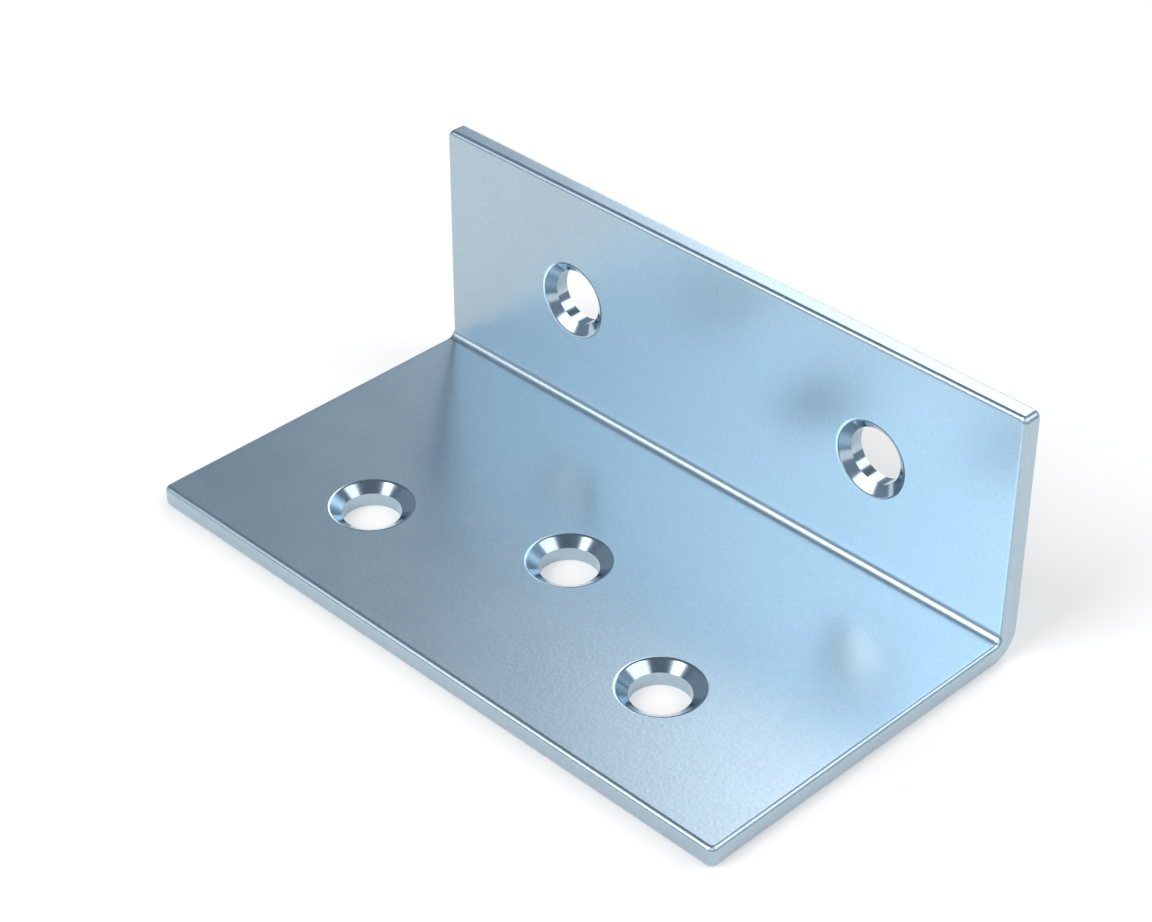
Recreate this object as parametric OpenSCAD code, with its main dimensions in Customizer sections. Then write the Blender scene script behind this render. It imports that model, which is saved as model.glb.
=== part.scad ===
// Angle bracket folded from one sheet: a deep base leg that lies flat and a
// shorter wall leg that stands at its back, with five countersunk screw holes.
// X runs along the fold, Y points to the back of the wall leg, Z is up.
// The origin is the middle of the underside. All sizes are in millimetres.

/* [Sheet] */
// Length of the bracket along the fold
length = 70; // [56:1:140]
// Depth of the base leg, from its free edge to the back of the wall leg
base_depth = 39.1; // [34:0.1:80]
// Height of the wall leg, from the underside to its free edge
wall_height = 25.5; // [22:0.1:60]
// Thickness of the sheet
sheet_t = 2.1; // [1.5:0.1:4]
// Inside radius of the fold
fold_r = 0.9; // [0.3:0.1:4]

/* [Edges] */
// Rounding of the edge across the sheet thickness
edge_r = 0.5; // [0.1:0.05:0.55]
// Rounding of the four free corners, seen square to each leg
corner_r = 0.75; // [0.55:0.05:5]

/* [Screw holes] */
// Diameter of the straight bore
bore_d = 5.6; // [3:0.1:7]
// Diameter of the base leg's countersinks where the cone would meet the face
base_sink_d = 7.9; // [7.2:0.1:10]
// Diameter of the wall leg's countersinks where the cone would meet the face
wall_sink_d = 7.6; // [7.2:0.1:10]
// Depth of the countersink cone below the face
sink_depth = 0.75; // [0.4:0.05:1.2]
// Rounding of the lip between the face and the cone
lip_r = 0.5; // [0.1:0.05:0.8]

/* [Base hole places] */
// Distance between the two outer holes of the base leg
base_spacing = 37; // [24:0.5:42]
// Sideways shift of the two outer base holes from mid-length
base_shift = -0.4; // [-1:0.1:1]
// Distance of the two outer holes from the free edge of the base leg
base_outer_edge = 11.8; // [7:0.1:20]
// Distance of the middle hole from the free edge of the base leg
base_middle_edge = 18.8; // [7:0.1:22]

/* [Wall hole places] */
// Distance between the two holes of the wall leg
wall_spacing = 37; // [14:0.5:42]
// Sideways shift of the two wall holes from mid-length
wall_shift = 0.6; // [-1:0.1:1]
// Distance of the two holes from the free edge of the wall leg
wall_hole_edge = 11.8; // [7:0.1:13]

/* [Hidden] */
$fn = 96;
// How far a cutter runs past the face that it opens
past = 1;
half = length / 2;
front_y = -base_depth / 2;
back_y = base_depth / 2;
fold_outer_r = fold_r + sheet_t;
// The fold turns about this line
fold_y = back_y - fold_outer_r;
fold_z = fold_outer_r;
// The flat middle of the sheet ends where the rounded corners begin
panel_half = half - corner_r;
// Straight lengths of the two legs, between the fold and the rounded corners
base_run = fold_y - front_y - corner_r;
wall_run = wall_height - fold_z - corner_r;
base_outer_y = front_y + base_outer_edge;
base_middle_y = front_y + base_middle_edge;
wall_hole_z = wall_height - wall_hole_edge;

// Quarter disc that rounds one corner of the sheet section.
module edge_round() {
    intersection() {
        circle(r = edge_r);
        square(edge_r);
    }
}

// End of the sheet in section: x runs outwards, y across the thickness.
// The end lies at x = reach and its two corners are rounded.
module rounded_end(reach) {
    straight = reach - edge_r;
    square([straight, sheet_t]);
    translate([straight, edge_r])
        square([edge_r, sheet_t - 2 * edge_r]);
    translate([straight, edge_r])
        mirror([0, 1])
            edge_round();
    translate([straight, sheet_t - edge_r])
        edge_round();
}

// Section of the whole sheet, square to its run: x along the fold, y across the thickness.
module sheet_section() {
    translate([-panel_half, 0])
        square([2 * panel_half, sheet_t]);
    translate([panel_half, 0])
        rounded_end(corner_r);
    translate([-panel_half, 0])
        mirror([1, 0])
            rounded_end(corner_r);
}

// The section carried back along the base, round the fold and up the wall.
module sheet_run() {
    translate([0, fold_y, 0])
        rotate([90, 0, 0])
            linear_extrude(base_run)
                sheet_section();
    translate([0, fold_y, fold_z])
        rotate([0, 90, 0])
            rotate_extrude(angle = 90)
                translate([fold_outer_r, 0])
                    rotate(90)
                        sheet_section();
    translate([0, back_y, fold_z])
        linear_extrude(wall_run)
            mirror([0, 1])
                sheet_section();
}

// Free end of a leg, with its rounded edge and its two rounded corners.
// It starts at the end of the run, points to +Y and lies on z = 0.
module free_end() {
    translate([-panel_half, 0, 0])
        rotate([90, 0, 90])
            linear_extrude(2 * panel_half)
                rounded_end(corner_r);
    for (side = [0, 1])
        mirror([side, 0, 0])
            translate([panel_half, 0, 0])
                rotate_extrude(angle = 90)
                    rounded_end(corner_r);
}

// Folded sheet without its holes.
module folded_sheet() {
    sheet_run();
    translate([0, fold_y - base_run, 0])
        mirror([0, 1, 0])
            free_end();
    translate([0, back_y, fold_z + wall_run])
        rotate([90, 0, 0])
            free_end();
}

// Cutter of one screw hole. Its axis is z, the face lies at z = 0 and the sheet below it.
module hole_cutter(sink_d) {
    slope = atan(sink_depth / ((sink_d - bore_d) / 2));
    reach = lip_r * tan(slope / 2);
    lip_x = sink_d / 2 + reach;
    rotate_extrude()
        difference() {
            polygon([
                [0, -sheet_t - past],
                [bore_d / 2, -sheet_t - past],
                [bore_d / 2, -sink_depth],
                [sink_d / 2 - reach * cos(slope), -reach * sin(slope)],
                [lip_x, -lip_r],
                [lip_x, past],
                [0, past]
            ]);
            translate([lip_x, -lip_r])
                circle(r = lip_r);
        }
}

// The three holes of the base leg, sunk from its upper face.
module base_holes() {
    for (side = [-1, 1])
        translate([base_shift + side * base_spacing / 2, base_outer_y, sheet_t])
            hole_cutter(base_sink_d);
    translate([0, base_middle_y, sheet_t])
        hole_cutter(base_sink_d);
}

// The two holes of the wall leg, sunk from its inner face.
module wall_holes() {
    for (side = [-1, 1])
        translate([wall_shift + side * wall_spacing / 2, back_y - sheet_t, wall_hole_z])
            rotate([90, 0, 0])
                hole_cutter(wall_sink_d);
}

module bracket() {
    color("lightsteelblue")
        difference() {
            folded_sheet();
            base_holes();
            wall_holes();
        }
}

bracket();
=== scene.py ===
"""Looks of the folded angle bracket: bright bluish zinc plate on a white floor."""
import math

import bpy
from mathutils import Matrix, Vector
from mathutils.geometry import tessellate_polygon

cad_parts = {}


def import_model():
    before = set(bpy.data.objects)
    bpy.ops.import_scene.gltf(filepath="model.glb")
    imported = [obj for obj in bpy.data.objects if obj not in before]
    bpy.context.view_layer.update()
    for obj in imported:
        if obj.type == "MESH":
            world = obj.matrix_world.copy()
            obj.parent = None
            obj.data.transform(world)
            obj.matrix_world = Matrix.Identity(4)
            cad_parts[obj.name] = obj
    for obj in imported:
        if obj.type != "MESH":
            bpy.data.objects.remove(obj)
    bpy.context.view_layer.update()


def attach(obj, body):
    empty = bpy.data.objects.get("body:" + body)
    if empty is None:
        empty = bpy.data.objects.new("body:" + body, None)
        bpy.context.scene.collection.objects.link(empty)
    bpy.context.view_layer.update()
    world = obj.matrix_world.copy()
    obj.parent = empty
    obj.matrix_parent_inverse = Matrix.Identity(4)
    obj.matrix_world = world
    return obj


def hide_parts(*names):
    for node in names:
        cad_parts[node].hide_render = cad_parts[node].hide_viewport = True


# Sizes of the sheet, in metres, in the row frame
HALF_LENGTH = 0.035
HALF_DEPTH = 0.01955
HEIGHT = 0.0255
SHEET = 0.0021
FOLD_R = 0.0009
EDGE_R = 0.0005
CORNER_R = 0.00075
# Screw holes: bore, countersink and the rounding of its lip
BORE_R = 0.0028
BASE_SINK_R = 0.00395
WALL_SINK_R = 0.0038
SINK_DEPTH = 0.00075
LIP_R = 0.0005
# Middles of the holes: X and Y in the base leg, X and Z in the wall leg
BASE_HOLES = [(-0.0189, -0.00775), (0.0, -0.00075), (0.0181, -0.00775)]
WALL_HOLES = [(-0.0179, 0.0137), (0.0191, 0.0137)]
# Steps round a quarter of an edge, a corner, a hole, its lip and the fold
EDGE_STEPS = 8
CORNER_STEPS = 10
HOLE_STEPS = 96
LIP_STEPS = 8
FOLD_STEPS = 24
# Places are rounded to this to find the points that faces share; it is well above the last digit
# of a 32-bit place
WELD = 1e-7
# Place of the holes' finish among the materials
CUT = 1

# Outer radius and middle of the fold
FOLD_OUTER_R = FOLD_R + SHEET
FOLD_Y = HALF_DEPTH - FOLD_OUTER_R
# Places along the run of the sheet, which goes from the free edge of the base to that of the wall
# and is measured on the outer face
FOLD_START = FOLD_Y + HALF_DEPTH
FOLD_END = FOLD_START + math.pi / 2 * FOLD_OUTER_R
RUN = FOLD_END + HEIGHT - FOLD_OUTER_R

# Camera, solved from the photograph: angles, then metres, then the lens in millimetres
AZIMUTH = math.radians(45.082)
ELEVATION = math.radians(35.289)
DISTANCE = 0.24861
TARGET = Vector((0.0, 0.000126, 0.012603))
LENS = 88.13
SENSOR = 36.0
CLIP_NEAR = 0.01
CLIP_FAR = 20.0

# Plating: darkest and lightest tint, and the roughness of the sheet and of the cut holes.
# The denoiser treats a surface another way from a roughness of 0.274 on, and draws a line where a
# surface crosses it, so each range stays on one side.
TINT_LOW = (0.395, 0.508, 0.591, 1.0)
TINT_HIGH = (0.455, 0.557, 0.629, 1.0)
SHEET_ROUGH = (0.28, 0.31)
CUT_ROUGH = (0.12, 0.15)

# The plating's clouds and fine grain, in waves a metre, and the clouds' share of the tint
CLOUDS = 300.0
GRAIN = 3200.0
CLOUD_SHARE = 0.2
# Where the mixed noise reaches the darkest and the lightest tint
TINT_REACH = (0.2, 0.8)
# Height of the grain's bumps in metres, and how strongly it shows on the sheet and in the holes
PEEL_HEIGHT = 0.00002
SHEET_PEEL = 0.2
CUT_PEEL = 0.02

# Floor: its colour, the light that it adds in the picture and in the metal, and its half width
FLOOR_COLOUR = (0.83, 0.80, 0.765, 1.0)
FLOOR_GLOW = 0.19
FLOOR_REACH = 6.0
# It lies this far under the part, so that the two faces don't share a plane
FLOOR_GAP = 0.00002

# Studio light: a room that darkens upwards, and four boxes, with their angles in degrees.
# The room's strength falls from 1 to ROOM_TOP between the elevations of ROOM_FADE, and soft is
# half the width over which a box's limits fade, sideways and up.
ROOM = (0.29, 0.34, 0.40, 1.0)
ROOM_FADE = (40.0, 52.0)
ROOM_TOP = 0.6
BOXES = [
    {"azimuth": (4.0, 62.0), "elevation": (24.0, 68.0), "level": 2.0, "soft": (2.0, 2.0)},
    {"azimuth": (102.0, 132.2), "elevation": (14.0, 53.0), "level": 2.55, "soft": (2.0, 2.0)},
    {"azimuth": (-132.5, -86.0), "elevation": (23.5, 68.0), "level": 4.25, "soft": (6.0, 3.0)},
    {"azimuth": (-64.0, -14.0), "elevation": (28.0, 58.0), "level": 1.6, "soft": (4.0, 4.0)},
]


def place(x, run, up):
    """Point of the sheet: x along the fold, run along the section, up across the thickness.
    Also gives the directions in which run and up grow there."""
    if run <= FOLD_START:
        return Vector((x, run - HALF_DEPTH, up)), Vector((0, 1, 0)), Vector((0, 0, 1))
    if run >= FOLD_END:
        height = FOLD_OUTER_R + run - FOLD_END
        return Vector((x, HALF_DEPTH - up, height)), Vector((0, 0, 1)), Vector((0, -1, 0))
    turn = math.pi / 2 * (run - FOLD_START) / (FOLD_END - FOLD_START)
    across = Vector((0, -math.sin(turn), math.cos(turn)))
    along = Vector((0, math.cos(turn), math.sin(turn)))
    centre = Vector((x, FOLD_Y, FOLD_OUTER_R))
    return centre - across * (FOLD_OUTER_R - up), along, across


class Skin:
    """Faces with their own normals, welded into one mesh."""

    def __init__(self):
        self.points = []
        self.index = {}
        self.faces = []
        self.normals = []
        self.finish = []

    def point(self, where):
        key = tuple(round(c / WELD) for c in where)
        if key not in self.index:
            self.index[key] = len(self.points)
            self.points.append(where)
        return self.index[key]

    def face(self, corners, finish=0):
        """Adds a face from (place, normal) pairs, turned so that it looks along its normals."""
        around = corners
        edges = zip(corners, corners[1:] + corners[:1])
        facing = sum((a[0].cross(b[0]) for a, b in edges), Vector())
        if facing.dot(sum((c[1] for c in corners), Vector())) < 0:
            around = corners[::-1]
        self.faces.append([self.point(c[0]) for c in around])
        self.normals.extend(c[1].normalized() for c in around)
        self.finish.append(finish)

    def grid(self, rows, finish=0):
        """Adds the quads between rows of (place, normal) pairs."""
        for low, high in zip(rows, rows[1:]):
            for i in range(len(low) - 1):
                self.face([low[i], low[i + 1], high[i + 1], high[i]], finish)

    def sheet(self, loops, normal):
        """Adds a flat face with an outer loop and holes."""
        flat = [p for loop in loops for p in loop]
        for triangle in tessellate_polygon(loops):
            self.face([(flat[i], normal) for i in triangle])

    def build(self, name, materials):
        """Makes the object, with the normals as they were given."""
        mesh = bpy.data.meshes.new(name)
        mesh.from_pydata([tuple(p) for p in self.points], [], self.faces)
        for material in materials:
            mesh.materials.append(material)
        mesh.polygons.foreach_set("material_index", self.finish)
        mesh.shade_smooth()
        mesh.normals_split_custom_set([tuple(n) for n in self.normals])
        made = bpy.data.objects.new(name, mesh)
        bpy.context.scene.collection.objects.link(made)
        return made


def arc(steps):
    """Angles of a quarter turn."""
    return [math.pi / 2 * i / steps for i in range(steps + 1)]


def fold_runs():
    """Steps along the run of the sheet, from the start of the fold to its end."""
    return [FOLD_START + (FOLD_END - FOLD_START) * i / FOLD_STEPS for i in range(FOLD_STEPS + 1)]


def edge_profile():
    """Section of the sheet's rounded edge, from its upper face to its lower face:
    distance out from the panel, height in the sheet, and the normal in those two directions."""
    straight = CORNER_R - EDGE_R
    upper = []
    for a in arc(EDGE_STEPS):
        n_out, n_up = math.sin(a), math.cos(a)
        upper.append((straight + EDGE_R * n_out, SHEET - EDGE_R * (1 - n_up), n_out, n_up))
    lower = [(out, SHEET - up, n_out, -n_up) for out, up, n_out, n_up in reversed(upper)]
    return upper + lower


def outline():
    """Places round the panel inside the rounded corners, with the direction outwards at each."""
    wide = HALF_LENGTH - CORNER_R
    near, far = CORNER_R, RUN - CORNER_R
    stops = [near] + fold_runs() + [far]
    ring = [(wide, run, 1.0, 0.0) for run in stops]
    ring += [(wide, far, math.cos(a), math.sin(a)) for a in arc(CORNER_STEPS)[1:]]
    ring += [(-wide, far, -math.sin(a), math.cos(a)) for a in arc(CORNER_STEPS)]
    ring += [(-wide, run, -1.0, 0.0) for run in reversed(stops[:-1])]
    ring += [(-wide, near, -math.cos(a), -math.sin(a)) for a in arc(CORNER_STEPS)[1:]]
    ring += [(wide, near, math.sin(a), -math.cos(a)) for a in arc(CORNER_STEPS)[:-1]]
    return ring


def edge_point(spot, section):
    """Place and normal where a section of the rounded edge stands at a spot of the outline."""
    x, run, out_x, out_run = spot
    out, up, n_out, n_up = section
    # Only the free ends reach out along the run, and they are flat, so the place is read there
    where, along, across = place(x, run, up)
    where = where + Vector((out_x * out, 0, 0)) + along * (out_run * out)
    normal = Vector((out_x * n_out, 0, 0)) + along * (out_run * n_out) + across * n_up
    return where, normal


def hole_profile(sink_r):
    """Section of a screw hole from the upper face down, as its rounded lip, its cone and its bore:
    radius, depth and the normal, inwards and up."""
    slope = math.atan2(SINK_DEPTH, sink_r - BORE_R)
    mouth = sink_r + LIP_R * math.tan(slope / 2)
    lip = []
    for i in range(LIP_STEPS + 1):
        a = slope * i / LIP_STEPS
        n_in, n_up = math.sin(a), math.cos(a)
        lip.append((mouth - LIP_R * n_in, LIP_R * (1 - n_up), n_in, n_up))
    cone = [lip[-1], (BORE_R, SINK_DEPTH, math.sin(slope), math.cos(slope))]
    bore = [(BORE_R, SINK_DEPTH, 1.0, 0.0), (BORE_R, SHEET, 1.0, 0.0)]
    return [lip, cone, bore]


def rim(x, run, radius, up):
    """Places round a hole and the direction out from its middle at each.
    The hole's walls and the faces round it both use this, so that they meet in the same points."""
    middle, along, _ = place(x, run, up)
    turns = [2 * math.pi * i / HOLE_STEPS for i in range(HOLE_STEPS)]
    sides = [Vector((math.cos(a), 0, 0)) + along * math.sin(a) for a in turns]
    return [(middle + side * radius, side) for side in sides]


def add_hole(skin, x, run, sink_r):
    """Countersink and bore of one hole."""
    across = place(x, run, 0)[2]
    for part in hole_profile(sink_r):
        rows = []
        for radius, depth, n_in, n_up in part:
            spots = rim(x, run, radius, SHEET - depth)
            row = [(where, across * n_up - side * n_in) for where, side in spots]
            rows.append(row + row[:1])
        skin.grid(rows, CUT)


def bracket_skin(materials):
    """The whole sheet as one closed mesh with exact normals."""
    skin = Skin()
    ring = outline()
    profile = edge_profile()
    closed = ring + ring[:1]
    skin.grid([[edge_point(spot, section) for spot in closed] for section in profile])

    base_holes = [(x, y + HALF_DEPTH) for x, y in BASE_HOLES]
    wall_holes = [(x, FOLD_END + z - FOLD_OUTER_R) for x, z in WALL_HOLES]
    legs = (
        ([s for s in ring if s[1] <= FOLD_START + WELD], base_holes, BASE_SINK_R),
        ([s for s in ring if s[1] >= FOLD_END - WELD], wall_holes, WALL_SINK_R),
    )
    for spots, holes, sink_r in legs:
        for x, run in holes:
            add_hole(skin, x, run, sink_r)
        mouth = hole_profile(sink_r)[0][0][0]
        sides = ((profile[0], mouth, SHEET, 1), (profile[-1], BORE_R, 0.0, -1))
        for section, radius, up, looks in sides:
            normal = place(0, spots[0][1], up)[2] * looks
            loops = [[edge_point(s, section)[0] for s in spots]]
            loops += [[where for where, _ in rim(x, run, radius, up)] for x, run in holes]
            skin.sheet(loops, normal)
    wide = HALF_LENGTH - CORNER_R
    for section, up, looks in ((profile[0], SHEET, 1), (profile[-1], 0.0, -1)):
        rows = []
        for run in fold_runs():
            row = []
            for side in (-1, 1):
                where = edge_point((side * wide, run, side, 0.0), section)[0]
                row.append((where, place(0, run, up)[2] * looks))
            rows.append(row)
        skin.grid(rows)
    return skin.build("bracket_skin", materials)


def node(tree, kind, **settings):
    """Adds a shader node and sets its plain properties."""
    made = tree.nodes.new(kind)
    for name, value in settings.items():
        setattr(made, name, value)
    return made


def maths(tree, operation, *values):
    """A maths node on outputs and plain numbers."""
    made = node(tree, "ShaderNodeMath", operation=operation)
    for socket, value in zip(made.inputs, values):
        if isinstance(value, (int, float)):
            socket.default_value = value
        else:
            tree.links.new(value, socket)
    return made.outputs[0]


def ramp(tree, value, low, high, to_low=0.0, to_high=1.0, smooth=True):
    """Value carried from one range to another."""
    made = node(tree, "ShaderNodeMapRange", interpolation_type="SMOOTHSTEP" if smooth else "LINEAR")
    made.inputs["From Min"].default_value = low
    made.inputs["From Max"].default_value = high
    made.inputs["To Min"].default_value = to_low
    made.inputs["To Max"].default_value = to_high
    tree.links.new(value, made.inputs["Value"])
    return made.outputs["Result"]


def noise(tree, scale):
    """Plain noise fixed to the part, with its scale in waves a metre."""
    coords = node(tree, "ShaderNodeTexCoord")
    made = node(tree, "ShaderNodeTexNoise")
    made.inputs["Scale"].default_value = scale
    made.inputs["Detail"].default_value = 0.0
    tree.links.new(coords.outputs["Object"], made.inputs["Vector"])
    return made.outputs["Fac"]


def zinc_material(name, rough, peel):
    """Bright bluish zinc plate, with a range of roughness and a strength of orange peel."""
    mat = bpy.data.materials.new(name)
    mat.use_nodes = True
    tree = mat.node_tree
    tree.nodes.clear()
    out = node(tree, "ShaderNodeOutputMaterial")
    shader = node(tree, "ShaderNodeBsdfPrincipled")
    tree.links.new(shader.outputs["BSDF"], out.inputs["Surface"])
    shader.inputs["Metallic"].default_value = 1.0

    # Tint: clouds a few millimetres wide with a fine speckle over them
    cloud = noise(tree, CLOUDS)
    speckle = noise(tree, GRAIN)
    cloud_part = maths(tree, "MULTIPLY", cloud, CLOUD_SHARE)
    speckle_part = maths(tree, "MULTIPLY", speckle, 1 - CLOUD_SHARE)
    tint = node(tree, "ShaderNodeValToRGB")
    stops = zip(tint.color_ramp.elements, TINT_REACH, (TINT_LOW, TINT_HIGH))
    for stop, position, colour in stops:
        stop.position = position
        stop.color = colour
    tree.links.new(maths(tree, "ADD", cloud_part, speckle_part), tint.inputs["Fac"])
    tree.links.new(tint.outputs["Color"], shader.inputs["Base Color"])

    # Gloss that changes a little from place to place
    tree.links.new(ramp(tree, cloud, 0.0, 1.0, *rough, smooth=False), shader.inputs["Roughness"])

    # Orange peel of the plating
    bump = node(tree, "ShaderNodeBump")
    bump.inputs["Strength"].default_value = peel
    bump.inputs["Distance"].default_value = PEEL_HEIGHT
    tree.links.new(speckle, bump.inputs["Height"])
    tree.links.new(bump.outputs["Normal"], shader.inputs["Normal"])
    return mat


def floor_material():
    """White floor: white in the picture and in the metal, with the part's own shade on it."""
    mat = bpy.data.materials.new("floor_white")
    mat.use_nodes = True
    tree = mat.node_tree
    tree.nodes.clear()
    out = node(tree, "ShaderNodeOutputMaterial")
    paint = node(tree, "ShaderNodeBsdfDiffuse")
    glow = node(tree, "ShaderNodeEmission")
    both = node(tree, "ShaderNodeAddShader")
    path = node(tree, "ShaderNodeLightPath")
    paint.inputs["Color"].default_value = FLOOR_COLOUR
    seen = maths(tree, "MAXIMUM", path.outputs["Is Camera Ray"], path.outputs["Is Glossy Ray"])
    seen = maths(tree, "MAXIMUM", seen, path.outputs["Is Transmission Ray"])
    tree.links.new(maths(tree, "MULTIPLY", seen, FLOOR_GLOW), glow.inputs["Strength"])
    tree.links.new(paint.outputs["BSDF"], both.inputs[0])
    tree.links.new(glow.outputs["Emission"], both.inputs[1])
    tree.links.new(both.outputs["Shader"], out.inputs["Surface"])
    return mat


def camera():
    """Camera at the photograph's angle."""
    data = bpy.data.cameras.new("camera")
    data.lens = LENS
    data.sensor_width = SENSOR
    data.sensor_fit = "HORIZONTAL"
    data.clip_start = CLIP_NEAR
    data.clip_end = CLIP_FAR
    cam = bpy.data.objects.new("camera", data)
    bpy.context.scene.collection.objects.link(cam)
    back = Vector((
        math.sin(AZIMUTH) * math.cos(ELEVATION),
        -math.cos(AZIMUTH) * math.cos(ELEVATION),
        math.sin(ELEVATION),
    ))
    cam.rotation_mode = "QUATERNION"
    cam.location = TARGET + back * DISTANCE
    cam.rotation_quaternion = (-back).to_track_quat("-Z", "Y")
    bpy.context.scene.camera = cam


def floor():
    """Wide plain floor under the bracket."""
    signs = ((-1, -1), (1, -1), (1, 1), (-1, 1))
    corners = [(FLOOR_REACH * a, FLOOR_REACH * b, -FLOOR_GAP) for a, b in signs]
    mesh = bpy.data.meshes.new("floor")
    mesh.from_pydata(corners, [], [(0, 1, 2, 3)])
    made = bpy.data.objects.new("floor", mesh)
    bpy.context.scene.collection.objects.link(made)
    mesh.materials.append(floor_material())


def window(tree, angle, limits, soft):
    """One between two angles in degrees and nothing outside them, with soft limits."""
    low, high, half = (math.radians(v) for v in (*limits, soft))
    rise = ramp(tree, angle, low - half, low + half)
    fall = ramp(tree, angle, high - half, high + half, 1.0, 0.0)
    return maths(tree, "MULTIPLY", rise, fall)


def studio():
    """Dim room with four soft boxes, all at a distance."""
    world = bpy.data.worlds.new("studio")
    bpy.context.scene.world = world
    world.use_nodes = True
    tree = world.node_tree
    tree.nodes.clear()
    out = node(tree, "ShaderNodeOutputWorld")
    coords = node(tree, "ShaderNodeTexCoord")
    split = node(tree, "ShaderNodeSeparateXYZ")
    tree.links.new(coords.outputs["Generated"], split.inputs[0])
    x, y, z = split.outputs
    azimuth = maths(tree, "ARCTAN2", y, x)
    elevation = maths(tree, "ARCSINE", z)
    light = 0.0
    for box in BOXES:
        wide = window(tree, azimuth, box["azimuth"], box["soft"][0])
        tall = window(tree, elevation, box["elevation"], box["soft"][1])
        glow = maths(tree, "MULTIPLY", maths(tree, "MULTIPLY", wide, tall), box["level"])
        light = maths(tree, "ADD", light, glow)
    room = node(tree, "ShaderNodeBackground")
    room.inputs["Color"].default_value = ROOM
    fade = [math.radians(v) for v in ROOM_FADE]
    tree.links.new(ramp(tree, elevation, *fade, 1.0, ROOM_TOP), room.inputs["Strength"])
    bright = node(tree, "ShaderNodeBackground")
    tree.links.new(light, bright.inputs["Strength"])
    bright.inputs["Color"].default_value = (1.0, 1.0, 1.0, 1.0)
    both = node(tree, "ShaderNodeAddShader")
    tree.links.new(room.outputs[0], both.inputs[0])
    tree.links.new(bright.outputs[0], both.inputs[1])
    tree.links.new(both.outputs[0], out.inputs["Surface"])


def main():
    """Dresses the bracket and sets it in the studio."""
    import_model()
    sheet = zinc_material("zinc_plate", SHEET_ROUGH, SHEET_PEEL)
    cut = zinc_material("zinc_plate_cut", CUT_ROUGH, CUT_PEEL)
    skin = bracket_skin([sheet, cut])
    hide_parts("bracket")
    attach(skin, "root")
    floor()
    studio()
    camera()
    bpy.context.scene.view_settings.view_transform = "Standard"


main()
